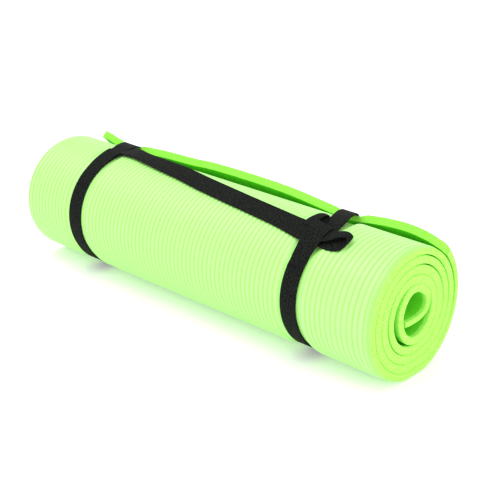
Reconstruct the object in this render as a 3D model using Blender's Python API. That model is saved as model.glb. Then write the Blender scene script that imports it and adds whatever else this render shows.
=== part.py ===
# Rolled foam exercise mat held by a black webbing strap. The strap is one length of webbing with a
# noose at each end, and the straight run between the nooses is the handle that the mat is carried by.
# Metres, +Z up. The roll lies along X on the floor, and its loose outer end lies along the top.
import math

import bmesh
import bpy
from mathutils import Vector

# The mat: one sheet of foam in a spiral, outer end first
FOAM = 0.010  # thickness of the foam
PITCH = 0.011  # distance from one turn to the next
OUTER_RADIUS = 0.0893  # of the outer face at the free end
FREE_END_DEG = 38.0  # where the free end lies, from straight up towards +Y
STEP_DEG = 7.5
TURN_STEPS = 48  # in the outer turn
SPIRAL_STEPS = 238  # steps from the free end to where the inner end leaves the spiral
LEFT_END = -0.3113
RIGHT_END = 0.3067
AXIS_Y = -0.0044  # where the roll's axis lies from the middle of the base
AXIS_Z = 0.0818  # height of the roll's axis
SAG = 0.0016  # how far the foam is pressed flat where it rests
REST_Y = 0.005  # middle of the pressed strip, from the axis
END_LEAN = 0.055  # how far the roll's right end leans from square, per metre across

# The inner end leaves the spiral and curls across the hole. Middle of the foam, (Y, Z) from the axis
TONGUE = [(0.0215, 0.0185), (0.0265, 0.0095), (0.0262, 0.0005), (0.0205, -0.0060), (0.0110, -0.0085)]
TONGUE += [(0.0000, -0.0085), (-0.0100, -0.0070), (-0.0170, -0.0062)]
TONGUE_FOAM = 0.0075

# How high the free end stands off the roll, (X, height)
LIFT = [
    (-0.311, 0.0040),
    (-0.290, 0.0020),
    (-0.220, 0.0),
    (-0.192, 0.0),
    (-0.150, 0.0045),
    (-0.115, 0.0060),
    (-0.085, 0.0085),
    (-0.045, 0.0092),
    (-0.010, 0.0093),
    (0.025, 0.0090),
    (0.062, 0.0078),
    (0.103, 0.0050),
    (0.139, 0.0030),
    (0.171, 0.0010),
    (0.200, 0.0010),
    (0.217, 0.0045),
    (0.238, 0.0075),
    (0.260, 0.0085),
    (0.283, 0.0050),
    (0.307, 0.0005),
]
LIFTED_DEG = 82.5  # the sprung part of the outer turn reaches this far round from the free end

# Stations along the roll where the outer turn changes shape
STATIONS = [LEFT_END, -0.290, -0.255, -0.232, -0.220, -0.192, -0.180, -0.150, -0.115, -0.070, -0.020, 0.030]
STATIONS += [0.070, 0.100, 0.130, 0.1591, 0.1711, 0.1991, 0.2111, 0.235, 0.260, 0.285, RIGHT_END]

# The strap
WEBBING = 0.0015  # thickness
BAND = 0.025  # width
GAP = 0.0004  # between the webbing and the foam, and between layers
LEFT_X = -0.2060  # middle of each noose
RIGHT_X = 0.1851
LEFT_BITE = 0.0027  # how far each noose presses into the foam
RIGHT_BITE = 0.0041
EDGE_SHARE = 0.7  # part of that at the free end's edge

# How far each noose slants along X round the roll, (degrees from straight up towards +Y, distance)
LEFT_SLANT = [(-40.0, 0.0), (0.0, 0.0), (9.0, -0.0060), (38.0, -0.0353), (46.0, -0.0430), (60.0, -0.0465)]
LEFT_SLANT += [(90.0, -0.0440), (180.0, -0.0080), (240.0, 0.0)]
RIGHT_SLANT = [(-40.0, 0.0), (0.0, 0.0), (9.0, -0.0020), (38.0, -0.0219), (46.0, -0.0280), (60.0, -0.0300)]
RIGHT_SLANT += [(90.0, -0.0285), (180.0, -0.0050), (240.0, 0.0)]
SLANT_NEAR = 0.030  # the foam's stations go with a noose this far from its middle
SLANT_FAR = 0.100  # and stay in place from here on

THREAD = 0.0008  # thickness of the sewing thread
ZIGZAG = 0.0015  # from one stitch of the zigzag to the next
ZIGZAG_DEG = 1.6  # each way from the middle of the zigzag
SPAN_TILT = 8.0  # degrees that the span is tipped towards -Y from lying flat on the roll

# Each noose starts under its eye at these angles, from straight up towards +Y. The eye is (angle, rise)
LEFT_START = (-27.0, -22.0, -14.5, -7.0, 0.5, 8.0, 15.5)
LEFT_EYE = [(-40.0, 0.0008), (-36.0, 0.0024), (-30.0, 0.0030), (-18.0, 0.0030), (-8.0, 0.0030)]
RIGHT_START = (-34.0, -29.5, -25.0, -20.5, -16.0, -7.0, 0.5, 8.0, 15.5)
RIGHT_EYE = [(-46.0, 0.0012), (-42.0, 0.0040), (-37.0, 0.0060), (-30.0, 0.0064), (-22.0, 0.0062)]
RIGHT_EYE += [(-14.0, 0.0056)]

# The loop of the strap that stands out to the right of the right eye, (X, height, turn in degrees)
BIGHT_SEGMENTS = 4
BIGHT = [(0.2115, 0.0047, 12.0), (0.2290, 0.0054, 8.0), (0.2370, 0.0070, 55.0), (0.2382, 0.0088, 100.0)]
BIGHT += [(0.2340, 0.0106, 150.0), (0.2220, 0.0098, 190.0), (0.2050, 0.0058, 194.0), (0.1960, 0.0036, 188.0)]
BIGHT += [(0.1850, 0.0028, 180.0), (0.1735, 0.0028, 180.0)]

# The middle of the span, (X, degrees from straight up, height over the foam)
SPAN = [(-0.1928, 1.0, 0.0060), (-0.1750, -0.2, 0.0050), (-0.1450, -2.4, 0.0042), (-0.1100, -5.0, 0.0036)]
SPAN += [(-0.0700, -8.1, 0.0032), (-0.0280, -11.5, 0.0030), (0.0000, -13.9, 0.0030), (0.0280, -16.3, 0.0030)]
SPAN += [(0.0600, -19.0, 0.0030), (0.0900, -21.4, 0.0031), (0.1200, -23.5, 0.0032), (0.1500, -25.2, 0.0034)]
SPAN += [(0.1720, -26.0, 0.0036)]

LIME = (0.42, 0.95, 0.13, 1.0)
BLACK = (0.012, 0.013, 0.012, 1.0)
THREAD_BLACK = (0.006, 0.006, 0.006, 1.0)


def clear_scene():
    for found in list(bpy.data.objects):
        bpy.data.objects.remove(found, do_unlink=True)


def material(name, color, roughness):
    made = bpy.data.materials.new(name)
    made.use_nodes = True
    shader = made.node_tree.nodes["Principled BSDF"]
    shader.inputs["Base Color"].default_value = color
    shader.inputs["Roughness"].default_value = roughness
    return made


def smooth(value):
    value = min(max(value, 0.0), 1.0)
    return value * value * (3.0 - 2.0 * value)


def between(table, x):
    for (x0, v0), (x1, v1) in zip(table, table[1:]):
        if x <= x1:
            return v0 + (v1 - v0) * max(0.0, (x - x0) / (x1 - x0))
    return table[-1][1]


def outer_radius(turned):
    """The spiral's outer face, in metres from the axis, after turning this many degrees from the free end."""
    angle = math.radians(FREE_END_DEG + turned)
    radius = OUTER_RADIUS - PITCH * turned / 360.0
    oval = -0.0017 * math.cos(2.0 * angle) - 0.0011 * math.sin(2.0 * angle)
    return radius + oval * radius / OUTER_RADIUS


def bite(x):
    """How far the nooses press into the foam at this place along the roll."""
    left = LEFT_BITE * (1.0 - smooth((abs(x - LEFT_X) - 0.0141) / 0.0119))
    right = RIGHT_BITE * (1.0 - smooth((abs(x - RIGHT_X) - 0.0141) / 0.0119))
    return max(left, right)


def bite_share(turned):
    """The nooses press a little less hard into the sprung free end."""
    return EDGE_SHARE + (1.0 - EDGE_SHARE) * smooth(turned / 60.0)


def slant(table, degrees):
    return between(table, (degrees + 40.0) % 360.0 - 40.0)


def slanted(x, turned):
    """Where a station of the outer turn lies, so that the foam's channels follow the nooses."""
    degrees = FREE_END_DEG + turned
    for middle, table in ((LEFT_X, LEFT_SLANT), (RIGHT_X, RIGHT_SLANT)):
        share = (SLANT_FAR - abs(x - middle)) / (SLANT_FAR - SLANT_NEAR)
        x += slant(table, degrees) * min(max(share, 0.0), 1.0)
    return x


def lift(x, turned):
    return between(LIFT, x) * (1.0 - smooth(turned / LIFTED_DEG))


def rested(y, z):
    """A point of the roll's section, from the axis, pressed up where the roll rests on the floor."""
    if z < -AXIS_Z:
        return -AXIS_Z
    pressed = SAG - (y - REST_Y) ** 2 / (2.0 * (AXIS_Z + SAG))
    if z > 0.0 or pressed <= 0.0:
        return z
    return z + pressed * smooth((math.hypot(y, z) - 0.030) / 0.045)


def polar(turned, radius):
    """(Y, Z) from the axis."""
    angle = math.radians(FREE_END_DEG + turned)
    return radius * math.sin(angle), radius * math.cos(angle)


def add_mesh(name, points, faces, slot):
    """points are measured from the roll's axis."""
    mesh = bpy.data.meshes.new(name)
    mesh.from_pydata([(x, y + AXIS_Y, z + AXIS_Z) for x, y, z in points], [], faces)
    mesh.materials.append(slot)
    shape = bmesh.new()
    shape.from_mesh(mesh)
    bmesh.ops.triangulate(shape, faces=shape.faces[:])
    bmesh.ops.recalc_face_normals(shape, faces=shape.faces[:])
    shape.to_mesh(mesh)
    shape.free()
    made = bpy.data.objects.new(name, mesh)
    bpy.context.scene.collection.objects.link(made)
    return made


def outer_point(step, x):
    """The outer face at a step of the spiral and a place along the roll."""
    turned = step * STEP_DEG
    radius = outer_radius(turned)
    if step <= TURN_STEPS:
        radius += lift(x, turned) - bite(x) * bite_share(turned)
    y, z = polar(turned, radius)
    return y, rested(y, z)


def inner_point(step, x):
    """The inner face, one foam thickness under the outer face."""
    turned = step * STEP_DEG
    radius = outer_radius(turned) - FOAM + (lift(x, turned) if turned < LIFTED_DEG else 0.0)
    y, z = polar(turned, radius)
    return y, rested(y, z)


def tongue_points():
    """The curled inner end, as (outer, inner) pairs of (Y, Z)."""
    start = polar(SPIRAL_STEPS * STEP_DEG, outer_radius(SPIRAL_STEPS * STEP_DEG) - FOAM / 2.0)
    line = [start] + TONGUE
    pairs = []
    for i in range(1, len(line)):
        before = line[i - 1]
        after = line[min(i + 1, len(line) - 1)]
        run = (after[0] - before[0], after[1] - before[1])
        size = math.hypot(*run)
        side = (-run[1] / size, run[0] / size)
        half = (FOAM + (TONGUE_FOAM - FOAM) * min(1.0, i / 4.0)) / 2.0
        y, z = line[i]
        pairs.append(((y + side[0] * half, z + side[1] * half), (y - side[0] * half, z - side[1] * half)))
    return pairs


def place(x, y, z):
    """Leans the roll's right end a little from square."""
    return (x - END_LEAN * y * smooth((x - 0.225) / 0.085), y, z)


def make_mat(slot):
    """A closed sheet: columns of points along X, round the spiral. Only the outer turn has every station."""
    tongue = tongue_points()
    steps = SPIRAL_STEPS + len(tongue)
    inner_fine = round(LIFTED_DEG / STEP_DEG)
    ends = [STATIONS[0], STATIONS[-1]]
    points = []

    def column(side, step):
        fine = step <= (TURN_STEPS if side == 0 else inner_fine)
        made = []
        for x in STATIONS if fine else ends:
            if step <= SPIRAL_STEPS:
                y, z = outer_point(step, x) if side == 0 else inner_point(step, x)
            else:
                y, z = tongue[step - SPIRAL_STEPS - 1][side]
            made.append(len(points))
            points.append(place(slanted(x, step * STEP_DEG) if fine else x, y, z))
        return made

    outer = [column(0, step) for step in range(steps + 1)]
    inner = [column(1, step) for step in range(steps + 1)]
    faces = []

    def strip(a, b):
        if len(a) == len(b):
            for i in range(len(a) - 1):
                faces.append((a[i], a[i + 1], b[i + 1], b[i]))
        else:
            middle = len(a) // 2
            for i in range(len(a) - 1):
                faces.append((a[i], a[i + 1], b[0] if i < middle else b[1]))
            faces.append((a[middle], b[1], b[0]))

    for step in range(steps):
        strip(outer[step], outer[step + 1])
        strip(inner[step], inner[step + 1])
        faces.append((outer[step][0], outer[step + 1][0], inner[step + 1][0], inner[step][0]))
        faces.append((outer[step][-1], outer[step + 1][-1], inner[step + 1][-1], inner[step][-1]))
    strip(outer[0], inner[0])
    strip(outer[steps], inner[steps])
    return add_mesh("foam_mat", points, faces, slot)


def ribbon(name, line, across, slot, thick=WEBBING, bight=None):
    """A closed strip of webbing. line is the middle of the strip, and across gives each point's width vector.
    bight is (segments, path): the side of that many segments runs on out along X, turns up and comes back."""
    points = []
    count = len(line)
    for i in range(count):
        before = line[max(i - 1, 0)]
        after = line[min(i + 1, count - 1)]
        run = [after[k] - before[k] for k in range(3)]
        wide = across[i]
        up = Vector(run).cross(Vector(wide)).normalized() * thick / 2.0
        for s, t in ((-0.5, -1.0), (0.5, -1.0), (0.5, 1.0), (-0.5, 1.0)):
            points.append([line[i][k] + s * wide[k] + t * up[k] for k in range(3)])
    faces = [(3, 2, 1, 0), tuple(4 * (count - 1) + k for k in range(4))]
    segments, path = bight or (0, [])
    for i in range(count - 1):
        for k in range(4):
            m = (k + 1) % 4
            if k != 1 or i >= segments:
                faces.append((4 * i + k, 4 * i + m, 4 * i + 4 + m, 4 * i + 4 + k))
    under = [4 * i + 2 for i in range(segments + 1)]
    over = [4 * i + 1 for i in range(segments + 1)]
    for x, height, turn in path:
        angle = math.radians(turn)
        next_under = []
        next_over = []
        for i in range(segments + 1):
            y, z = line[i][1:]
            radius = math.hypot(y, z)
            for side, made in ((-0.5, next_under), (0.5, next_over)):
                scale = (radius + height + side * thick * math.cos(angle)) / radius
                made.append(len(points))
                points.append((x - side * thick * math.sin(angle), y * scale, z * scale))
        for i in range(segments):
            faces.append((under[i], under[i + 1], next_under[i + 1], next_under[i]))
            faces.append((over[i], over[i + 1], next_over[i + 1], next_over[i]))
        for i in (0, segments):
            faces.append((under[i], over[i], next_over[i], next_under[i]))
        under = next_under
        over = next_over
    for i in range(segments):
        faces.append((under[i], under[i + 1], over[i + 1], over[i]))
    return add_mesh(name, points, faces, slot)


def noose_line(middle, slant_table, bitten, start, panel):
    """The noose's path from under its eye, back over the free end, round the roll, and up the front to the
    eye's fold. start is the angles of the first part, and panel is (angle, rise) along the eye."""
    half = WEBBING / 2.0 + GAP
    edge = outer_radius(0.0) + lift(middle, 0.0) - bitten * EDGE_SHARE + half
    path = []

    def add(degrees, y, z):
        path.append((middle + slant(slant_table, degrees), y, z))

    for degrees in start:
        turned = degrees + 360.0 - FREE_END_DEG
        add(degrees, *polar(turned, outer_radius(turned) - bitten + half))
    add(FREE_END_DEG - 8.0, *polar(-8.0, edge - 0.0006))
    add(FREE_END_DEG - 1.0, *polar(-1.0, edge + 0.0002))
    for step in range(1, 38):
        turned = step * STEP_DEG
        radius = outer_radius(turned) + lift(middle, turned) - bitten * bite_share(turned) + half
        y, z = polar(turned, radius)
        add(FREE_END_DEG + turned, y, rested(y, z))
    for degrees, rise in panel:
        turned = degrees + 360.0 - FREE_END_DEG
        add(degrees, *polar(turned, outer_radius(turned) - bitten + half + rise))
    return path


def make_noose(name, middle, slant_table, bitten, start, panel, slot, bight=None):
    line = noose_line(middle, slant_table, bitten, start, panel)
    across = []
    for i in range(len(line)):
        before = line[max(i - 1, 0)]
        after = line[min(i + 1, len(line) - 1)]
        slope = (after[0] - before[0]) / math.hypot(after[1] - before[1], after[2] - before[2])
        across.append((BAND * math.hypot(1.0, slope), 0.0, 0.0))
    return ribbon(name, line, across, slot, bight=bight)


def roll_point(x, degrees, height):
    turned = degrees + 360.0 - FREE_END_DEG
    y, z = polar(turned, outer_radius(turned) + height)
    return (x, y, z)


def along(degrees, width):
    """A width vector that lies along the roll's surface, square to its axis."""
    angle = math.radians(degrees)
    return (0.0, width * math.cos(angle), -width * math.sin(angle))


def make_span(slot):
    """The straight run between the nooses, from the left eye to the right eye."""
    line = []
    across = []
    for x, degrees, height in SPAN:
        line.append(roll_point(x, degrees, height))
        across.append(along(degrees - SPAN_TILT, BAND))
    return ribbon("carry_span", line, across, slot)


def make_stitching(name, x, degrees, bitten, slot):
    """A bar of zigzag sewing across the front band, where the folded end of the strap is sewn down."""
    line = []
    across = []
    for i in range(15):
        turned = degrees + (ZIGZAG_DEG if i % 2 else -ZIGZAG_DEG)
        side = ZIGZAG * (i - 7)
        line.append(roll_point(x + side, turned, -bitten + WEBBING + 2.0 * GAP + THREAD / 2.0))
        across.append(along(degrees, THREAD))
    return ribbon(name, line, across, slot, THREAD)


clear_scene()
foam = material("foam", LIME, 0.55)
webbing = material("webbing", BLACK, 0.7)
thread = material("thread", THREAD_BLACK, 0.5)
make_mat(foam)
make_noose("left_noose", LEFT_X, LEFT_SLANT, LEFT_BITE, LEFT_START, LEFT_EYE, webbing)
right_bight = (BIGHT_SEGMENTS, BIGHT)
make_noose("right_noose", RIGHT_X, RIGHT_SLANT, RIGHT_BITE, RIGHT_START, RIGHT_EYE, webbing, right_bight)
make_span(webbing)
make_stitching("left_stitching", LEFT_X, -54.0, LEFT_BITE, thread)
make_stitching("right_stitching", RIGHT_X, -58.0, RIGHT_BITE, thread)
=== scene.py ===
import math
from collections import namedtuple

import bpy
import numpy as np
from mathutils import Matrix, Vector


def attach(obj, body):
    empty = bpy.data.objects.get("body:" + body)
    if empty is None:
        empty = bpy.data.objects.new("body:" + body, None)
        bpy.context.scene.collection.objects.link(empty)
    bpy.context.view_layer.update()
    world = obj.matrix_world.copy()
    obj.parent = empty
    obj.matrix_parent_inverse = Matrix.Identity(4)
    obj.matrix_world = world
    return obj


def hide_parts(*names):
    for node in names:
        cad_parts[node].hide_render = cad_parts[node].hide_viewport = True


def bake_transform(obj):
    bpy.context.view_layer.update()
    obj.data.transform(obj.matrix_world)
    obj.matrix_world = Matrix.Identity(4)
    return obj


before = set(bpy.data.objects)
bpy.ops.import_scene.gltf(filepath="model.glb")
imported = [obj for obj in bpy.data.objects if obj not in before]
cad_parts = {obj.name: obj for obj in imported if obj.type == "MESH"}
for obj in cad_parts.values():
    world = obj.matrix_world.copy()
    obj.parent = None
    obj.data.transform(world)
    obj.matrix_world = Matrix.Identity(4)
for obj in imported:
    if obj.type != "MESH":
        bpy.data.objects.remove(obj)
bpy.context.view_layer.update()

# A rolled exercise mat with a webbing strap noosed round it. Lengths are in metres and in the CAD's frame,
# with the roll along X. Angles round the roll are in degrees from straight up towards +Y, and turned is the
# angle along the spiral from the free end inwards. Heights on the strap are in millimetres over the roll.

# The foam sheet and the spiral it is rolled into
FOAM = 0.010
PITCH = 0.011
OUTER_RADIUS = 0.0893
OVAL = (-0.0017, -0.0011)  # how far the roll is from round, as the cosine and sine of twice the angle
FREE_END = 38.0
INNER_END = 1785.0  # where the inner end leaves the spiral
LEFT_END, RIGHT_END = -0.3113, 0.3067
AXIS_Y, AXIS_Z = -0.0044, 0.0818
SAG = 0.0016  # how far the floor presses up into the roll
REST_Y = 0.005  # from the axis to the middle of the pressed strip
CORE_RADIUS, CORE_FADE = 0.030, 0.045  # inside CORE_RADIUS the floor presses nothing
END_LEAN = 0.055  # X that the right end gains for each metre towards -Y
LEAN_FROM, LEAN_OVER = 0.225, 0.085

# Where the layers lie apart, by layer from the outside, and how far
OPEN_AT = (75.0, 60.0, 50.0, 255.0, 235.0)
CLOSED_UP = 0.0006  # how much thicker the foam is where they lie close
OUTER_GAP, INNER_GAP = 0.0021, 0.0015
CORE_SHIFT = 0.0085  # how far the innermost turn is drawn in from the others on its -Y side
WIDE_GAP = 0.002  # how far the gap before those turns is widened

# The curled inner end: its middle line as (Y, Z) from the axis, and its thickness
TONGUE = (
    (0.0235, 0.0180),
    (0.0270, 0.0090),
    (0.0258, 0.0005),
    (0.0205, -0.0058),
    (0.0110, -0.0092),
    (0.0000, -0.0102),
    (-0.0100, -0.0102),
    (-0.0176, -0.0092),
)
TONGUE_FOAM = 0.0066
TONGUE_STEPS = 65
TONGUE_THINS_OVER = 30.0  # steps

# How high the free end stands off the roll: (X where the roll is straight, height)
LIFT = (
    (-0.311, 0.0064),
    (-0.290, 0.0054),
    (-0.250, 0.0022),
    (-0.226, 0.0),
    (-0.192, 0.0),
    (-0.150, 0.0045),
    (-0.115, 0.0060),
    (-0.085, 0.0085),
    (-0.045, 0.0092),
    (-0.010, 0.0093),
    (0.025, 0.0090),
    (0.062, 0.0078),
    (0.103, 0.0050),
    (0.139, 0.0030),
    (0.171, 0.0010),
    (0.200, 0.0010),
    (0.217, 0.0045),
    (0.238, 0.0075),
    (0.260, 0.0085),
    (0.283, 0.0050),
    (0.307, 0.0005),
)
LIFT_X, LIFT_HEIGHT = np.array(LIFT).T
LIFT_BLUR = (-0.010, -0.005, 0.0, 0.005, 0.010)
LIFTED = 82.5  # degrees of the sheet that stand off the roll

# The ribs of the outer face, and the free end's rounded corners
RIB = 0.00735
LAST_GROOVE = 0.3037
RIB_DEPTH = 0.0012
PLAIN_BORDER, BORDER_FADE = 0.0055, 0.002
RIM, RIM_FADE, RIM_SHADE = 0.009, 0.005, 0.8  # painted shade: the skin is painted a deeper green near both rims
RIGHT_CORNER, LEFT_CORNER = (0.022, 0.018), (0.009, 0.004)  # along X, and back round the roll
CORNER_RUN = 0.81  # the part of a corner's length that is curved

# The mat's mesh
RIBBED_TO = 400.0  # degrees along the spiral, from the free end
FINE_INSIDE_TO = 99.0
COVERED_AT = 345.0  # from here the sheet's edge is under its outermost layer
DEGREES_A_STEP = 3.0
ROUNDING, INNER_ROUNDING = 0.0045, 0.0016  # of the sheet's long edges, at its outer and inner face
ROUNDING_LOST = 0.0030  # under the outermost layer
ARC = np.radians([18.0, 36.0, 54.0, 72.0, 90.0])
SKIN, CUT, EDGE, INSIDE = range(4)  # its material slots

# The strap
WEBBING = 0.0015
BAND = 0.025
GAP = 0.0004
THREAD = 0.0008
LAY = 1000.0 * (WEBBING / 2.0 + GAP)  # mm from the foam to the middle of the webbing
PRESS_HALF, PRESS_FLANK = 0.0135, 0.011  # the groove that a noose presses in the foam
SLANT_NEAR, SLANT_FAR = 0.030, 0.095  # from a noose: the free end's waves move with it, and don't move

# How far each noose slants along X: (degrees round the roll, left noose, right noose)
SLANT = (
    (-40.0, 0.0014, 0.0023),
    (-16.0, 0.0010, 0.0060),
    (0.0, -0.0010, 0.0030),
    (9.0, -0.0060, -0.0012),
    (30.0, -0.0225, -0.0110),
    (38.0, -0.0353, -0.0203),
    (46.0, -0.0455, -0.0285),
    (60.0, -0.0490, -0.0320),
    (90.0, -0.0440, -0.0285),
    (180.0, -0.0080, -0.0050),
    (240.0, 0.0008, 0.0010),
    (320.0, 0.0014, 0.0023),
)
SLANT_DEGREES, LEFT_SLANT, RIGHT_SLANT = np.array(SLANT).T

# A noose's place, its slant, how far it bites into the foam, and the part of that at the free end's edge
Noose = namedtuple("Noose", "x slant bite edge_share")
LEFT = Noose(-0.2060, LEFT_SLANT, 0.0027, 1.15)
RIGHT = Noose(0.1851, RIGHT_SLANT, 0.0041, 0.7)
NOOSES = (LEFT, RIGHT)

# Strips of webbing. A path's point is (X, degrees, mm over the roll), at the middle of a strip that lies
# flat. A row is such a point for each of a strip's edges, and how far its middle stands out from between
# them, in mm.
RIGHT_OVER = [
    (0.1930, -30.0, LAY - 4.0),
    (0.1925, -18.0, LAY - 3.4),
    (0.1910, -8.0, LAY - 2.0),
    (0.1885, 1.0, 1.4),
    (0.1845, 9.0, 3.6),
    (0.1785, 18.0, 5.8),
    (0.1735, 26.0, 8.0),
    (0.1690, 32.0, 9.7),
]
RIGHT_EYE = [
    ((0.1745, -49.5, LAY - 3.6), (0.1998, -46.5, LAY - 3.6), 0.0),
    ((0.1752, -43.0, LAY - 2.0), (0.2012, -41.5, LAY - 2.0), 0.0),
    ((0.1765, -37.0, 2.8), (0.2035, -37.5, 2.2), 0.2),
    ((0.1772, -29.0, 5.6), (0.2045, -31.0, 5.0), 0.3),
    ((0.1770, -21.0, 7.0), (0.2050, -24.5, 6.2), 0.2),
    ((0.1762, -15.0, 7.2), (0.2052, -19.3, 6.0), 0.0),
    ((0.1758, -13.2, 6.2), (0.2052, -17.4, 5.2), 0.0),
    ((0.1760, -13.0, 4.6), (0.2050, -17.2, 3.8), 0.0),
    ((0.1764, -14.6, 3.4), (0.2046, -18.8, 2.9), 0.0),
    ((0.1770, -20.0, 3.4), (0.2040, -23.0, 3.0), 0.0),
    ((0.1772, -28.0, 2.9), (0.2030, -30.0, 2.6), 0.0),
]
RIGHT_BIGHT = [
    ((0.1860, -19.0, -1.6), (0.1860, -33.0, -1.6), 0.0),
    ((0.2020, -20.0, 0.4), (0.2040, -36.5, 0.2), 0.0),
    ((0.2150, -20.0, 1.4), (0.2200, -37.0, 1.0), 0.0),
    ((0.2260, -19.5, 2.2), (0.2315, -35.0, 1.7), 0.0),
    ((0.2335, -19.5, 3.6), (0.2358, -31.5, 3.2), 0.5),
    ((0.2366, -18.5, 5.6), (0.2372, -27.0, 6.0), 1.0),
    ((0.2325, -17.0, 6.6), (0.2330, -24.0, 8.2), 1.2),
    ((0.2250, -15.8, 6.4), (0.2255, -25.5, 7.8), 1.2),
    ((0.2165, -17.5, 5.8), (0.2180, -29.0, 6.4), 0.9),
    ((0.2070, -20.0, 4.8), (0.2090, -32.0, 4.9), 0.4),
    ((0.1960, -19.0, 3.9), (0.1980, -34.0, 3.9), 0.0),
    ((0.1860, -18.0, 3.9), (0.1870, -34.0, 3.6), 0.0),
    ((0.1750, -18.0, 4.4), (0.1750, -34.0, 3.0), 0.0),
]
RIGHT_LIP = [
    ((0.1655, -12.0, 0.6), (0.1800, -14.0, 0.6), 0.0),
    ((0.1650, -6.0, 1.2), (0.1800, -6.0, 1.2), 0.2),
    ((0.1655, -2.0, 2.8), (0.1790, -1.2, 2.6), 0.6),
    ((0.1662, -0.9, 4.4), (0.1780, -0.2, 4.2), 0.8),
    ((0.1665, -2.8, 6.0), (0.1775, -2.4, 5.8), 0.8),
    ((0.1658, -8.5, 6.8), (0.1780, -9.0, 6.8), 0.4),
    ((0.1640, -16.0, 6.2), (0.1790, -16.0, 6.6), 0.0),
    ((0.1640, -22.0, 5.2), (0.1790, -22.0, 5.6), 0.0),
]
LEFT_OVER = [
    (-0.2050, -24.0, LAY - 2.6),
    (-0.2050, -12.0, LAY - 1.8),
    (-0.2060, -4.0, LAY - 0.4),
    (-0.2085, 3.0, 1.8),
    (-0.2130, 10.0, 3.2),
    (-0.2190, 18.0, 4.6),
    (-0.2255, 26.0, 6.4),
    (-0.2310, 32.0, 7.7),
]
LEFT_EYE = [
    ((-0.2172, -46.0, LAY - 2.5), (-0.1922, -46.5, LAY - 2.5), 0.0),
    ((-0.2166, -36.0, LAY - 2.1), (-0.1918, -36.5, LAY - 2.1), 0.0),
    ((-0.2167, -26.0, LAY - 1.0), (-0.1912, -27.0, LAY - 1.0), 0.2),
    ((-0.2168, -16.0, 1.6), (-0.1908, -18.0, 1.5), 0.3),
    ((-0.2168, -8.0, 3.2), (-0.1903, -11.5, 3.0), 0.2),
    ((-0.2167, -5.2, 3.5), (-0.1900, -9.2, 3.3), 0.0),
    ((-0.2166, -4.4, 2.9), (-0.1899, -8.4, 2.7), 0.0),
    ((-0.2166, -5.4, 2.0), (-0.1900, -9.4, 1.7), 0.0),
    ((-0.2166, -10.0, 1.2), (-0.1910, -13.0, 1.0), 0.0),
    ((-0.2165, -18.0, 0.4), (-0.1915, -20.0, 0.4), 0.0),
]
SPAN = [
    ((-0.2010, -2.0, 2.6), (-0.2260, 28.0, 3.2), 0.0),
    ((-0.1870, -8.0, 3.2), (-0.2030, 22.0, 4.6), 0.2),
    ((-0.1640, -7.6, 3.4), (-0.1800, 14.0, 5.6), 0.4),
    ((-0.1400, -10.0, 3.2), (-0.1540, 8.2, 6.0), 0.4),
    ((-0.1000, -13.7, 2.6), (-0.1090, 4.6, 6.8), 0.3),
    ((-0.0600, -17.0, 2.0), (-0.0640, 1.2, 7.4), 0.2),
    ((-0.0180, -21.3, 1.8), (-0.0200, -3.0, 6.4), 0.0),
    ((0.0440, -26.0, 1.6), (0.0430, -8.3, 5.8), 0.0),
    ((0.0740, -27.9, 1.5), (0.0710, -10.3, 5.4), 0.0),
    ((0.1280, -31.7, 1.5), (0.1220, -13.9, 5.2), 0.0),
    ((0.1560, -34.6, 1.6), (0.1500, -16.0, 5.4), 0.0),
    ((0.1730, -36.4, 2.0), (0.1670, -17.0, 5.6), 0.0),
    ((0.1860, -36.0, 2.4), (0.1800, -17.5, 5.4), 0.0),
]
NOOSE_STEPS, SPAN_STEPS, BIGHT_STEPS, LIP_STEPS = 300, 200, 90, 40
# Each half of the span: its steps, the X where its noose holds it, and the X where it moves with the handle
SPAN_HALVES = (
    ("span_left_half", slice(0, 106), -0.195, -0.095),
    ("span_right_half", slice(105, SPAN_STEPS), 0.175, 0.085),
)

# Colours, linear: each foam surface's light and dark
# the skin's light tone is partly its own paler colour and partly a painted sheen; its dark tone is also the
# painted shade in the grooves and near the rims
SKIN_TONES = ((0.60, 0.95, 0.38), (0.32, 0.89, 0.12))
CUT_TONES = ((0.50, 0.93, 0.20), (0.28, 0.86, 0.06))
# painted shade: the cut foam painted a darker green on the sheet's cut ends, the free end's face and the
# curled inner end's
SHADED_EDGE_TONES = ((0.38, 0.87, 0.12), (0.24, 0.76, 0.05))
# painted shade: the foam inside the roll and between its hidden turns painted a dark, deep green, for the
# shade and the light bounced round the hole
SHADED_INSIDE_TONES = ((0.19, 0.76, 0.04), (0.12, 0.66, 0.02))
# painted glow: a faint green light that the foam inside the roll gives off, though it is no lamp
PAINTED_GLOW = (0.12, 1.0, 0.02)
BLACK_YARN, LIT_YARN = (0.002, 0.003, 0.002), (0.044, 0.047, 0.042)
BLACK_THREAD, LIT_THREAD = (0.005, 0.005, 0.005), (0.022, 0.022, 0.022)

# The camera: where it stands, where it looks in degrees, and its lens in mm
CAMERA_PLACE = (1.0932, -1.0411, 0.6832)
CAMERA_AZIMUTH, CAMERA_TILT, CAMERA_ROLL = -45.31, 22.09, -0.70
CAMERA_LENS = 91.32
FLOOR_HALF = 8.0


# The shape of the roll


def smooth(value):
    value = np.clip(value, 0.0, 1.0)
    return value * value * (3.0 - 2.0 * value)


def polar(turned, radius):
    angle = np.radians(FREE_END + turned)
    return radius * np.sin(angle), radius * np.cos(angle)


def outer_radius(turned):
    angle = np.radians(FREE_END + turned)
    radius = OUTER_RADIUS - PITCH * turned / 360.0
    oval = OVAL[0] * np.cos(2.0 * angle) + OVAL[1] * np.sin(2.0 * angle)
    return radius + oval * radius / OUTER_RADIUS


def slanted(noose, degrees):
    return float(np.interp((degrees + 40.0) % 360.0 - 40.0, SLANT_DEGREES, noose.slant))


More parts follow.
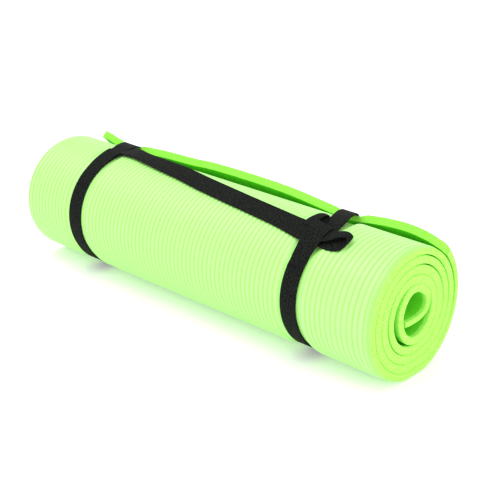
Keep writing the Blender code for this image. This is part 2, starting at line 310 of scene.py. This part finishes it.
def station(x, degrees):
    """The place along a straight roll that the slanting nooses have drawn to x."""
    straight = [-1.0]
    drawn = [-1.0]
    for noose in NOOSES:
        slant = slanted(noose, degrees)
        places = [noose.x + reach for reach in (-SLANT_FAR, -SLANT_NEAR, SLANT_NEAR, SLANT_FAR)]
        straight += places
        drawn += [places[0], places[1] + slant, places[2] + slant, places[3]]
    return np.interp(x, drawn + [1.0], straight + [1.0])


def edge_share(noose, turned):
    return noose.edge_share + (1.0 - noose.edge_share) * float(smooth(turned / 60.0))


def bite(x, turned):
    """How far the nooses press into the foam."""
    pressed = 0.0
    for noose in NOOSES:
        off = abs(x - noose.x - slanted(noose, FREE_END + turned))
        share = (1.0 - smooth((off - PRESS_HALF) / PRESS_FLANK)) * edge_share(noose, turned)
        pressed = np.maximum(pressed, noose.bite * share)
    return pressed * (1.0 - smooth((turned - 360.0) / 12.0))


def lift(x, turned):
    """How high the free end stands off the roll."""
    place = station(x, FREE_END + turned)
    height = sum(np.interp(place + step, LIFT_X, LIFT_HEIGHT) for step in LIFT_BLUR) / len(LIFT_BLUR)
    return height * (1.0 - smooth(turned / LIFTED))


def rested(y, z):
    """Z where the roll is pressed up by the floor, from the axis."""
    pressed = np.maximum(SAG - (y - REST_Y) ** 2 / (2.0 * (AXIS_Z + SAG)), 0.0)
    share = smooth((np.hypot(y, z) - CORE_RADIUS) / CORE_FADE) * (z < 0.0)
    return z + pressed * share


def ribs(x):
    """Depth below the crests, 0 to 1: broad round ribs, narrow grooves, and none at the plain borders."""
    crest = np.abs(np.sin(np.pi * (x - LAST_GROOVE) / RIB)) ** 0.7
    left_border = smooth((x - LEFT_END - PLAIN_BORDER) / BORDER_FADE)
    right_border = smooth((LAST_GROOVE + 0.6 * RIB - x) / BORDER_FADE)
    return (1.0 - crest) * left_border * right_border


def painted_groove_and_rim_shade(x):
    """Painted shade on the skin, 0 to 1: a deeper green painted in the grooves and near both rims."""
    past_rim = np.maximum(x - RIGHT_END, LEFT_END - x)
    return np.maximum(ribs(x), RIM_SHADE * smooth((past_rim + RIM) / RIM_FADE))


def corner_turn(turned, x):
    """The free end's corners are rounded, so near them the foam starts further back."""
    back = 0.0
    for inside, (reach, depth) in ((RIGHT_END - x, RIGHT_CORNER), (x - LEFT_END, LEFT_CORNER)):
        share = np.clip((reach - inside) / (CORNER_RUN * reach), 0.0, 1.0)
        back = back + depth * (1.0 - np.sqrt(1.0 - share**2))
    return turned + np.degrees(back / OUTER_RADIUS) * max(0.0, 1.0 - turned / 40.0)


def core_shift(turned):
    """How far the layer is moved towards +Y: the inner turns aren't round quite the others' axis."""
    away = float(smooth((turned - 1540.0) / 120.0)) - 0.78 * float(smooth((turned - 1690.0) / 95.0))
    beside_gap = math.cos(math.radians(0.9 * min(abs(turned - 1312.0), 100.0))) ** 2
    return CORE_SHIFT * away + WIDE_GAP * beside_gap


def thickness(turned):
    """The foam's thickness: the layers lie close together at some places and apart at others."""
    layer = math.floor((FREE_END + turned) / 360.0)
    open_at = OPEN_AT[min(layer, len(OPEN_AT) - 1)]
    apart = max(0.0, math.cos(math.radians(FREE_END + turned - open_at)))
    return FOAM + CLOSED_UP - (OUTER_GAP if layer == 0 else INNER_GAP) * apart**1.5


def outer_face(turned, x):
    """(Y, Z) of the sheet's outer face from the axis."""
    from_edge = corner_turn(turned, x)
    pressed = bite(x, turned)
    radius = outer_radius(from_edge) + lift(x, turned) - pressed
    ribbed = (1.0 - smooth((turned - 395.0) / 5.0)) * (0.45 + 0.55 * smooth(turned / 5.0))
    radius = radius - RIB_DEPTH * ribs(x) * ribbed * (1.0 - 150.0 * pressed)
    y, z = polar(from_edge, radius)
    return np.array([y + core_shift(turned), np.maximum(rested(y, z), -AXIS_Z)])


def inner_face(turned, x):
    """(Y, Z) of the sheet's inner face from the axis."""
    from_edge = corner_turn(turned, x)
    foam = FOAM + (thickness(turned) - FOAM) * float(smooth((turned - 12.0) / 30.0))
    y, z = polar(from_edge, outer_radius(from_edge) - foam + lift(x, turned))
    return np.array([y + core_shift(turned), np.maximum(rested(y, z), -AXIS_Z)])


def spline(points, count):
    """count points along a Catmull-Rom curve through points."""
    points = np.array(points, dtype=float)
    padded = np.vstack([2 * points[0] - points[1], points, 2 * points[-1] - points[-2]])
    made = []
    for t in np.linspace(0.0, len(points) - 1.0, count):
        i = min(int(t), len(points) - 2)
        f = t - i
        a, b, c, d = padded[i : i + 4]
        cubic = 3 * b - a - 3 * c + d
        made.append(0.5 * (2 * b + (c - a) * f + (2 * a - 5 * b + 4 * c - d) * f * f + cubic * f**3))
    return np.array(made)


def tongue_faces():
    """(outer, inner) points of the curled inner end, as (Y, Z) from the axis."""
    start = polar(INNER_END, outer_radius(INNER_END) - thickness(INNER_END) / 2.0)
    line = spline([(start[0] + core_shift(INNER_END), start[1]), *TONGUE], TONGUE_STEPS)
    runs = np.gradient(line, axis=0)
    sides = np.stack([-runs[:, 1], runs[:, 0]], axis=1) / np.linalg.norm(runs, axis=1)[:, None]
    share = np.minimum(1.0, np.arange(len(line)) / TONGUE_THINS_OVER)
    full = thickness(INNER_END)
    half = (full + (TONGUE_FOAM - full) * share)[:, None] / 2.0
    return line[1:] + sides[1:] * half[1:], line[1:] - sides[1:] * half[1:]


# The mat's mesh


def new_object(name, points, faces):
    mesh = bpy.data.meshes.new(name)
    mesh.from_pydata(points, [], faces)
    made = bpy.data.objects.new(name, mesh)
    bpy.context.scene.collection.objects.link(made)
    return made


def shade(mesh, degrees):
    mesh.shade_smooth()
    mesh.set_sharp_from_angle(angle=math.radians(degrees))


def columns():
    """Places along X: a few for plain foam, eight for each rib, and where the few are among those."""
    border = [0.006, 0.009, 0.012, 0.016, 0.020, 0.025]
    middle = list(np.linspace(LEFT_END + 0.045, RIGHT_END - 0.045, 16))
    coarse = np.array([LEFT_END + b for b in border] + middle + [RIGHT_END - b for b in border[::-1]])
    fine = np.arange(coarse[0], coarse[-1], RIB / 8.0)
    fine = np.unique(np.concatenate([fine, coarse]).round(6))
    at = [int(np.argmin(abs(fine - x))) for x in coarse]
    fine[at] = coarse
    return coarse, fine, at


COARSE_X, FINE_X, COARSE_AT = columns()


def spiral_step(turned):
    """What gives the outer and the inner face's points at places along X, for one step of the spiral."""
    return lambda xs: (outer_face(turned, xs), inner_face(turned, xs))


def tongue_step(outer, inner):
    """The same for one step of the curled inner end, which is alike all along X."""
    return lambda xs: [np.repeat(point[:, None], len(xs), axis=1) for point in (outer, inner)]


def edge_points(faces_at, end, way, rounding):
    """Points round the sheet's edge at one end of the roll, from the outer face to the inner face."""
    insets = [rounding] + [rounding * (1.0 - math.sin(a)) for a in ARC] + [0.0, 0.0]
    insets += [INNER_ROUNDING * (1.0 - math.sin(a)) for a in ARC[::-1]] + [INNER_ROUNDING]
    xs = end - way * np.array(insets)
    top, low = faces_at(xs)
    thick = np.linalg.norm(low - top, axis=0)[0]
    depths = [0.0] + [rounding * (1.0 - math.cos(a)) for a in ARC]
    depths += [rounding + share * (thick - rounding - INNER_ROUNDING) for share in (0.33, 0.67)]
    depths += [thick - INNER_ROUNDING * (1.0 - math.cos(a)) for a in ARC[::-1]] + [thick]
    sunk = top + (low - top) * (np.array(depths) / thick)
    return np.stack([xs, *sunk], axis=1)


class Sheet:
    """The mat's points and faces. A ring goes round the sheet's section along X, at one step of the spiral:
    its outer row, right edge, inner row and left edge, as vertex numbers."""

    def __init__(self):
        self.blocks = []
        self.faces = []
        self.slots = []

    def add(self, block):
        start = sum(len(before) for before in self.blocks)
        self.blocks.append(block)
        return list(range(start, start + len(block)))

    def face(self, corners, flip, slot):
        self.faces.append(corners[::-1] if flip else corners)
        self.slots.append(slot)

    def ring(self, turned, faces_at):
        outer_xs = FINE_X if turned <= RIBBED_TO else COARSE_X
        inner_xs = FINE_X if turned <= FINE_INSIDE_TO else COARSE_X
        rounding = ROUNDING - ROUNDING_LOST * float(smooth((turned - 330.0) / 60.0))
        outer = self.add(np.stack([outer_xs, *faces_at(outer_xs)[0]], axis=1))
        inner = self.add(np.stack([inner_xs, *faces_at(inner_xs)[1]], axis=1))
        right = self.add(edge_points(faces_at, RIGHT_END, 1.0, rounding))
        left = self.add(edge_points(faces_at, LEFT_END, -1.0, rounding))
        return outer, [outer[-1], *right, inner[-1]], inner, [outer[0], *left, inner[0]]

    def bridge(self, one, two, flip, slot):
        """Joins two rows. Where a fine row meets a coarse one, a face takes in all the fine row's points."""
        if len(one) == len(two):
            for i in range(len(one) - 1):
                self.face((one[i], one[i + 1], two[i + 1], two[i]), flip, slot)
        else:
            for j in range(len(COARSE_AT) - 1):
                self.face(one[COARSE_AT[j] : COARSE_AT[j + 1] + 1] + [two[j + 1], two[j]], flip, slot)

    def edge_bridge(self, one, two, flip, outside):
        """Joins two edges. The skin goes round the first points of an edge that is seen from outside."""
        split = 4
        self.bridge(one[: split + 1], two[: split + 1], flip, SKIN if outside else CUT)
        self.bridge(one[split:], two[split:], flip, CUT)

    def cap(self, ring, flip):
        outer, right, inner, left = ring
        self.bridge(outer, inner, flip, EDGE)
        self.face(tuple(right), flip, EDGE)
        self.face(tuple(left), not flip, EDGE)


def sheet_of_foam():
    """The sheet from its free end to its curled inner end."""
    turns = [0.0, 1.0, 2.0, *np.arange(3.0, INNER_END + 0.1, DEGREES_A_STEP)]
    steps = [(turned, spiral_step(turned)) for turned in turns]
    steps += [(INNER_END, tongue_step(outer, inner)) for outer, inner in zip(*tongue_faces())]
    sheet = Sheet()
    rings = [sheet.ring(turned, faces_at) for turned, faces_at in steps]
    for (turned, _), one, two in zip(steps, rings, rings[1:]):
        sheet.bridge(one[0], two[0], False, SKIN if turned < RIBBED_TO else INSIDE)
        sheet.edge_bridge(one[1], two[1], False, turned < COVERED_AT)
        sheet.bridge(one[2], two[2], True, INSIDE)
        sheet.edge_bridge(one[3], two[3], True, turned < COVERED_AT)
    sheet.cap(rings[0], True)
    sheet.cap(rings[-1], False)
    return sheet


def make_mat():
    sheet = sheet_of_foam()
    points = np.vstack(sheet.blocks)
    # painted shade in the grooves and near the rims, kept on each point for the skin's material
    painted_shade = painted_groove_and_rim_shade(points[:, 0])
    points[:, 0] -= END_LEAN * points[:, 1] * smooth((points[:, 0] - LEAN_FROM) / LEAN_OVER)
    points += np.array([0.0, AXIS_Y, AXIS_Z])
    mat = new_object("mat", points.tolist(), sheet.faces)
    attribute = mat.data.attributes.new("groove", "FLOAT", "POINT")
    attribute.data.foreach_set("value", painted_shade.astype(np.float32))
    for surface in foam_surfaces():
        mat.data.materials.append(surface)
    mat.data.polygons.foreach_set("material_index", sheet.slots)
    shade(mat.data, 50.0)
    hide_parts("foam_mat")
    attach(mat, "rolled_mat")


# Materials


def material(name, color, roughness, specular):
    made = bpy.data.materials.new(name)
    made.use_nodes = True
    shader = made.node_tree.nodes["Principled BSDF"]
    shader.inputs["Base Color"].default_value = (*color, 1.0)
    shader.inputs["Roughness"].default_value = roughness
    shader.inputs["Specular IOR Level"].default_value = specular
    return made, made.node_tree, shader


def node(tree, kind, **values):
    made = tree.nodes.new(kind)
    for name, value in values.items():
        if hasattr(made, name):
            setattr(made, name, value)
        else:
            made.inputs[name].default_value = value
    return made


def textured(tree, kind, place, **values):
    """A texture node that takes its place from another node's output."""
    made = node(tree, kind, **values)
    tree.links.new(place, made.inputs["Vector"])
    return made.outputs["Fac"]


def color_mix(tree, share, one, two):
    """A mix of two colours, or of a node's colour output and a colour, by a node's output."""
    mix = tree.nodes.new("ShaderNodeMix")
    mix.data_type = "RGBA"
    tree.links.new(share, mix.inputs["Factor"])
    for socket, value in (("A", one), ("B", two)):
        target = [found for found in mix.inputs if found.name == socket and found.type == "RGBA"][0]
        if isinstance(value, tuple):
            target.default_value = (*value, 1.0)
        else:
            tree.links.new(value, target)
    return [found for found in mix.outputs if found.type == "RGBA"][0]


def scaled(tree, output, factor, offset=0.0):
    """An output times a factor, plus an offset, kept from 0 to 1."""
    made = node(tree, "ShaderNodeMath", operation="MULTIPLY_ADD", use_clamp=True)
    tree.links.new(output, made.inputs[0])
    made.inputs[1].default_value = factor
    made.inputs[2].default_value = offset
    return made.outputs[0]


def add_bump(tree, shader, height, strength, distance):
    bump = node(tree, "ShaderNodeBump", Strength=strength, Distance=distance)
    tree.links.new(height, bump.inputs["Height"])
    tree.links.new(bump.outputs["Normal"], shader.inputs["Normal"])


def foam_material(name, tones, roughness, specular, speckle, glow=0.0, with_painted_shade=False):
    """Foam: fine closed cells, seen as a speckle in the colour and the surface, and painted shade as a
    deeper colour in the grooves and near the rims. glow is a painted glow that the surface gives off, for
    the light that comes through the foam inside the roll."""
    light, dark = tones
    made, tree, shader = material(name, light, roughness, specular)
    place = tree.nodes.new("ShaderNodeTexCoord").outputs["Object"]
    cells = textured(tree, "ShaderNodeTexNoise", place, Scale=700.0, Detail=3.0)
    base = color_mix(tree, scaled(tree, cells, 5.0 * speckle, 0.4 - 2.3 * speckle), light, dark)
    if with_painted_shade:
        # painted shade: the skin's colour is mixed towards its dark tone in the grooves and near the rims
        groove = node(tree, "ShaderNodeAttribute", attribute_name="groove")
        base = color_mix(tree, scaled(tree, groove.outputs["Fac"], 1.0), base, dark)
    tree.links.new(base, shader.inputs["Base Color"])
    # painted glow: the surface gives off light in the foam's green, as strong as glow
    shader.inputs["Emission Color"].default_value = (*PAINTED_GLOW, 1.0)
    shader.inputs["Emission Strength"].default_value = glow
    add_bump(tree, shader, cells, 0.25, 0.0004)
    return made


def foam_surfaces():
    """The mat's materials, in the order of its slots."""
    return (
        foam_material("foam_skin", SKIN_TONES, roughness=0.32, specular=0.5, speckle=0.1, with_painted_shade=True),
        foam_material("foam_cut", CUT_TONES, roughness=0.8, specular=0.08, speckle=0.6),
        # the sheet's cut ends, painted darker than the end faces as painted shade
        foam_material("foam_edge_shaded", SHADED_EDGE_TONES, roughness=0.8, specular=0.08, speckle=0.6),
        # the faces inside the roll, painted dark as painted shade, with a painted glow
        foam_material("foam_inside_shaded", SHADED_INSIDE_TONES, roughness=0.8, specular=0.05, speckle=0.3, glow=0.01),
    )


def webbing_material():
    """Plain-woven black webbing: rows of yarn across the strip and along it, with a painted highlight where
    they cross, and a fuzz over them.
    """
    made, tree, shader = material("webbing_weave", BLACK_YARN, roughness=0.8, specular=0.08)
    place = node(tree, "ShaderNodeAttribute", attribute_name="strip").outputs["Vector"]
    rows = textured(tree, "ShaderNodeTexWave", place, Scale=190.0, Distortion=0.6, bands_direction="X")
    lines = textured(tree, "ShaderNodeTexWave", place, Scale=150.0, Distortion=0.6, bands_direction="Y")
    weave = node(tree, "ShaderNodeMath", operation="MULTIPLY")
    tree.links.new(rows, weave.inputs[0])
    tree.links.new(lines, weave.inputs[1])
    fuzz = textured(tree, "ShaderNodeTexNoise", place, Scale=420.0, Detail=1.0)
    # painted highlight: the weave's crests are mixed towards the lit yarn colour
    yarn = color_mix(tree, weave.outputs[0], BLACK_YARN, LIT_YARN)
    fuzzy = color_mix(tree, scaled(tree, fuzz, 5.0, -2.2), yarn, BLACK_YARN)
    tree.links.new(fuzzy, shader.inputs["Base Color"])
    add_bump(tree, shader, weave.outputs[0], 0.6, 0.0004)
    return made


def thread_material():
    """Black sewing thread, with its twist and a painted highlight along it."""
    made, tree, shader = material("thread_twist", BLACK_THREAD, roughness=0.55, specular=0.3)
    place = tree.nodes.new("ShaderNodeTexCoord").outputs["Object"]
    twist = textured(tree, "ShaderNodeTexWave", place, Scale=700.0, Distortion=0.4)
    # painted highlight: the twist's ridges are mixed towards the lit thread colour
    tree.links.new(color_mix(tree, twist, BLACK_THREAD, LIT_THREAD), shader.inputs["Base Color"])
    add_bump(tree, shader, twist, 0.5, 0.0002)
    return made


def floor_material():
    """A pale studio floor with the faintest mottle."""
    made, tree, shader = material("pale_floor", (0.86, 0.86, 0.86), roughness=0.9, specular=0.2)
    mottle = node(tree, "ShaderNodeTexNoise", Scale=6.0, Detail=2.0)
    pale = color_mix(tree, mottle.outputs["Fac"], (0.87, 0.87, 0.87), (0.85, 0.85, 0.85))
    tree.links.new(pale, shader.inputs["Base Color"])
    shader.inputs["Emission Color"].default_value = (1.0, 1.0, 1.0, 1.0)
    shader.inputs["Emission Strength"].default_value = 0.24
    return made


# Strips of webbing and thread


def on_roll(x, degrees, millimetres):
    """A point over the roll's visible outer face."""
    turned = (degrees - FREE_END) % 360.0
    y, z = polar(turned, outer_radius(turned) + millimetres / 1000.0)
    return np.array([x, y + AXIS_Y, float(rested(y, z)) + AXIS_Z])


def strip_sheet(rows, count, thick):
    """A strip's points, as steps along it by points round its section, and their places on the webbing."""
    left = spline([on_roll(*left_edge) for left_edge, _, _ in rows], count)
    right = spline([on_roll(*right_edge) for _, right_edge, _ in rows], count)
    crown = spline([(crown / 1000.0, 0.0, 0.0) for _, _, crown in rows], count)[:, 0]
    across = np.array([-0.5, -0.485, -0.45, -0.3, -0.15, 0.0, 0.15, 0.3, 0.45, 0.485, 0.5])
    swell = np.array([0.15, 0.75, 1.0, 1.0, 1.0, 1.0, 1.0, 1.0, 1.0, 0.75, 0.15])  # thin at both selvedges
    middle = (left + right) / 2.0
    wide = right - left
    normal = np.cross(np.gradient(middle, axis=0), wide)
    normal /= np.linalg.norm(normal, axis=1)[:, None]
    length = np.concatenate([[0.0], np.cumsum(np.linalg.norm(np.diff(middle, axis=0), axis=1))])
    arch = [middle + wide * a + normal * (crown * (1.0 - 4.0 * a * a))[:, None] for a in across]
    sheet = np.stack(arch, axis=1)
    out = np.cross(np.gradient(sheet, axis=0), np.gradient(sheet, axis=1))
    out /= np.linalg.norm(out, axis=2)[:, :, None]
    offset = out * (swell * thick / 2.0)[None, :, None]
    grid = np.concatenate([sheet + offset, (sheet - offset)[:, ::-1]], axis=1)
    places = np.zeros_like(grid)
    places[:, :, 0] = length[:, None]
    places[:, :, 1] = np.concatenate([across, across[::-1]])[None, :] * BAND
    return grid, places


def strip_mesh(rows, count, thick=WEBBING, keep=slice(None)):
    """Points, places and faces of a closed strip of count steps. keep is a part of its length."""
    grid, places = (found[keep] for found in strip_sheet(rows, count, thick))
    steps, n = grid.shape[:2]
    faces = []
    for i in range(steps - 1):
        for j in range(n):
            m = (j + 1) % n
            faces.append((i * n + j, i * n + m, (i + 1) * n + m, (i + 1) * n + j))
    faces.append(tuple(range(n - 1, -1, -1)))
    faces.append(tuple((steps - 1) * n + j for j in range(n)))
    return grid.reshape(-1, 3), places.reshape(-1, 3), faces


def strip_object(name, strips, surface):
    """One object of one or more strips, with the places along the webbing for its material."""
    start = 0
    faces = []
    for grid, _, strip_faces in strips:
        faces += [tuple(start + v for v in face) for face in strip_faces]
        start += len(grid)
    made = new_object(name, np.vstack([grid for grid, _, _ in strips]).tolist(), faces)
    attribute = made.data.attributes.new("strip", "FLOAT_VECTOR", "POINT")
    places = np.vstack([found for _, found, _ in strips])
    attribute.data.foreach_set("vector", places.reshape(-1).astype(np.float32))
    shade(made.data, 60.0)
    made.data.materials.append(surface)
    return made


def across_path(path, width=BAND, square=True):
    """Rows of a strip that lies flat on the roll. It is square to its path, or it lies along X."""
    rows = []
    for i, (x, degrees, height) in enumerate(path):
        before = path[max(i - 1, 0)]
        after = path[min(i + 1, len(path) - 1)]
        run_x = after[0] - before[0] if square else 0.0
        run_round = math.radians(after[1] - before[1]) * OUTER_RADIUS
        size = math.hypot(run_x, run_round)
        side_x = run_round / size * width / 2.0
        side_degrees = -math.degrees(run_x / size * width / 2.0 / OUTER_RADIUS)
        radius = outer_radius((degrees - FREE_END) % 360.0)
        edges = []
        for way in (-1.0, 1.0):
            edge_degrees = degrees + way * side_degrees
            level = height + 1000.0 * (radius - outer_radius((edge_degrees - FREE_END) % 360.0))
            edges.append((x + way * side_x, edge_degrees, level))
        rows.append((edges[0], edges[1], 0.0))
    return rows


def round_the_roll(noose):
    """A noose's path from the free end's edge over the back and under the roll to the front."""
    path = []
    for degrees in range(39, 311, 6):
        turned = degrees - FREE_END
        pressed = noose.bite * edge_share(noose, turned)
        height = float(lift(noose.x + slanted(noose, degrees), turned)) - pressed + WEBBING / 2.0 + GAP
        path.append((noose.x + slanted(noose, degrees), float(degrees), 1000.0 * height))
    return path


def make_right_noose(web):
    """The noose from under its eye over the free end, round the roll and up the front, where it is folded
    over into the eye; the loop that its spare length makes; and the small fold above the knot."""
    rows = across_path(RIGHT_OVER + round_the_roll(RIGHT), square=False) + RIGHT_EYE
    strips = [
        strip_mesh(rows, NOOSE_STEPS),
        strip_mesh(RIGHT_BIGHT, BIGHT_STEPS),
        strip_mesh(RIGHT_LIP, LIP_STEPS),
    ]
    right_noose = strip_object("right_noose_webbing", strips, web)
    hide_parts("right_noose")
    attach(right_noose, "rolled_mat")


def tipped(row, degrees):
    """The row with its left edge lower and its right edge higher, by 1 mm where the noose tops the roll."""
    left, right, crown = row
    tip = max(0.0, 1.0 - abs(degrees - 37.0) / 16.0)
    return (left[0], left[1], left[2] - tip), (right[0], right[1], right[2] + tip), crown


def make_left_noose(web):
    """The noose from under its eye over the free end, round the roll, up the front and into the eye."""
    path = LEFT_OVER + round_the_roll(LEFT)
    rows = [tipped(row, degrees) for row, (_, degrees, _) in zip(across_path(path), path)]
    left_noose = strip_object("left_noose_webbing", [strip_mesh(rows + LEFT_EYE, NOOSE_STEPS)], web)
    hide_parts("left_noose")
    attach(left_noose, "rolled_mat")


def make_stitching(name, noose, degrees, cad_node, thread):
    """A bar of zigzag sewing across the front band, under the eye."""
    height = 1000.0 * (-noose.bite + WEBBING + 2.0 * GAP + THREAD / 2.0)
    path = []
    for i in range(15):
        zigzag = 1.6 if i % 2 else -1.6
        path.append((noose.x + 0.0012 + 0.0015 * (i - 7), degrees + zigzag, height))
    made = strip_object(name, [strip_mesh(across_path(path, THREAD), 113, THREAD)], thread)
    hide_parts(cad_node)
    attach(made, "rolled_mat")


def make_span(web):
    """The strap between the nooses, which is the handle, made as two halves."""
    for name, part, fixed_x, free_x in SPAN_HALVES:
        half = strip_object(name, [strip_mesh(SPAN, SPAN_STEPS, keep=part)], web)
        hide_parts("carry_span")
        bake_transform(half)


# Floor, light and camera


def make_floor():
    reach = FLOOR_HALF
    corners = [(-reach, -reach, 0.0), (reach, -reach, 0.0), (reach, reach, 0.0), (-reach, reach, 0.0)]
    floor = new_object("floor", corners, [(0, 1, 2, 3)])
    floor.data.materials.append(floor_material())


def make_sky():
    world = bpy.data.worlds.new("studio")
    bpy.context.scene.world = world
    world.use_nodes = True
    world.node_tree.nodes["Background"].inputs["Color"].default_value = (1.0, 1.0, 1.0, 1.0)
    world.node_tree.nodes["Background"].inputs["Strength"].default_value = 1.08


def softbox(name, place, aim, size, power):
    data = bpy.data.lights.new(name, "AREA")
    data.shape = "SQUARE"
    data.size = size
    data.energy = power
    made = bpy.data.objects.new(name, data)
    made.location = place
    made.rotation_euler = (Vector(aim) - Vector(place)).to_track_quat("-Z", "Y").to_euler()
    bpy.context.scene.collection.objects.link(made)


def make_camera():
    azimuth, tilt, roll = (math.radians(angle) for angle in (CAMERA_AZIMUTH, CAMERA_TILT, CAMERA_ROLL))
    level = math.cos(tilt)
    ahead = Vector((level * math.sin(azimuth), level * math.cos(azimuth), -math.sin(tilt)))
    side = ahead.cross(Vector((0.0, 0.0, 1.0))).normalized()
    above = side.cross(ahead)
    turned_side = math.cos(roll) * side + math.sin(roll) * above
    turned_above = -math.sin(roll) * side + math.cos(roll) * above
    data = bpy.data.cameras.new("camera")
    data.sensor_width = 36.0
    data.lens = CAMERA_LENS
    camera = bpy.data.objects.new("camera", data)
    facing = Matrix((turned_side, turned_above, -ahead)).transposed().to_quaternion()
    camera.matrix_world = Matrix.LocRotScale(Vector(CAMERA_PLACE), facing, None)
    bpy.context.scene.collection.objects.link(camera)
    bpy.context.scene.camera = camera


make_mat()
web = webbing_material()
thread = thread_material()
make_right_noose(web)
make_left_noose(web)
make_stitching("left_eye_stitches", LEFT, -54.0, "left_stitching", thread)
make_stitching("right_eye_stitches", RIGHT, -58.0, "right_stitching", thread)
make_span(web)

make_floor()
make_sky()
softbox("overhead", (-0.6, -0.6, 2.0), (0.0, 0.0, 0.0), 1.6, 14.0)
softbox("right_side", (2.0, -0.35, 0.75), (0.3, 0.0, 0.08), 1.0, 12.0)
make_camera()
bpy.context.scene.view_settings.view_transform = "Standard"
